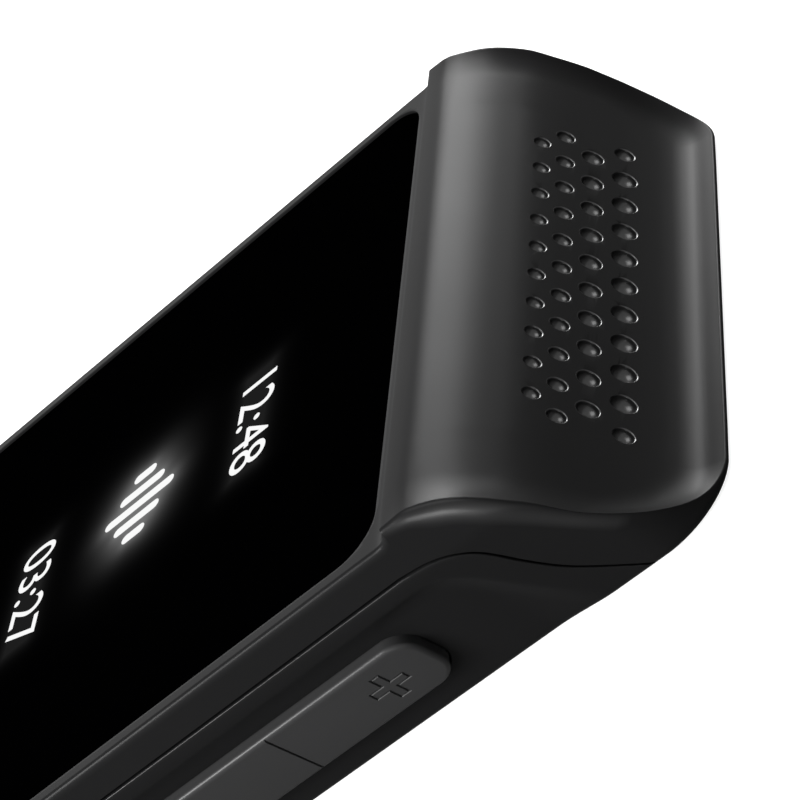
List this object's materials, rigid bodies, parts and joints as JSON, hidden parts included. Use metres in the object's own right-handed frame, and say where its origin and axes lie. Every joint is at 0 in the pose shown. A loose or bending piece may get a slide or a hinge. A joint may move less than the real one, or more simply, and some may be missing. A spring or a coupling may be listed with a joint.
{
  "type": "handheld translator",
  "caption": "Pocket translator: flat display slab with a raised, slanted loudspeaker hood at one end, side keys, a card tray and a charging socket.",
  "frame": {"origin": "centre of the overall box in plan, on the plane of the flat back", "axes": "+Y along the body towards the loudspeaker hood, +Z out of the display, +X towards the side with the volume rocker"},
  "size_m": [0.0608, 0.132, 0.0166],
  "materials": {
    "housing": "satin black moulded plastic with a fine grain",
    "key": "satin black moulded plastic",
    "screen": "polished black cover glass",
    "window": "polished dark window",
    "flash": "milky lens",
    "adhesive": "black foam tape",
    "panel": "display panel",
    "alloy": "pressed sheet",
    "steel": "plated steel",
    "board": "glass-fibre board with green mask",
    "film": "amber film",
    "cell": "foil pouch",
    "plastic": "black moulded plastic",
    "chip": "black chip package",
    "rubber": "matt black",
    "copper": "copper foil"
  },
  "bodies": {
    "case": {"front_housing": "housing", "rear_housing": "housing", "display_glass": "screen", "camera_window": "window", "flash_lens": "flash", "display_adhesive": "adhesive", "display_module": "panel", "midframe": "alloy", "case_screw_1": "steel", "case_screw_2": "steel", "case_screw_3": "steel", "case_screw_4": "steel", "board_screw_1": "steel", "board_screw_2": "steel", "board_screw_3": "steel", "lower_board_screw_1": "steel", "lower_board_screw_2": "steel", "processor_shield": "steel", "radio_shield": "steel", "card_reader": "steel", "usb_socket_shell": "steel", "microphone_left": "steel", "microphone_right": "steel", "vibration_motor": "steel", "speaker_gauze": "steel", "volume_up_switch": "steel", "volume_down_switch": "steel", "power_switch": "steel", "talk_switch": "steel", "main_board": "board", "lower_board": "board", "right_key_board": "board", "left_key_board": "board", "display_flex": "film", "board_link_flex": "film", "battery_cell": "cell", "display_connector": "plastic", "usb_socket_tongue": "plastic", "speaker_driver": "plastic", "speaker_box": "plastic", "camera_module": "plastic", "processor_chip": "chip", "memory_chip": "chip", "radio_chip": "chip", "microphone_seal_left": "rubber", "microphone_seal_right": "rubber", "speaker_gasket": "rubber", "speaker_cone": "rubber", "upper_antenna": "copper", "lower_antenna": "copper"},
    "rocker": {"volume_rocker": "key"},
    "power": {"power_key": "key"},
    "talk": {"talk_key": "key"},
    "tray": {"card_tray": "key"}
  },
  "joints": [
    {"name": "volume_rock", "type": "hinge", "parent": "case", "child": "rocker", "pos_m": [0.02371, 0.0298, 0.00756], "axis": [0.309, 0, 0.9511], "range_deg": [-1.3, 1.3], "stiffness_Nm_per_rad": 0.5},
    {"name": "power_press", "type": "slide", "parent": "case", "child": "power", "axis": [-0.9511, 0, 0.309], "range_m": [0, 0.0003], "stiffness_N_per_m": 1500, "springref_m": -0.0002},
    {"name": "talk_press", "type": "slide", "parent": "case", "child": "talk", "axis": [0.9511, 0, 0.309], "range_m": [0, 0.0003], "stiffness_N_per_m": 1500, "springref_m": -0.0002},
    {"name": "tray_pull", "type": "slide", "parent": "case", "child": "tray", "axis": [-1, 0, 0], "range_m": [0, 0.016]}
  ]
}
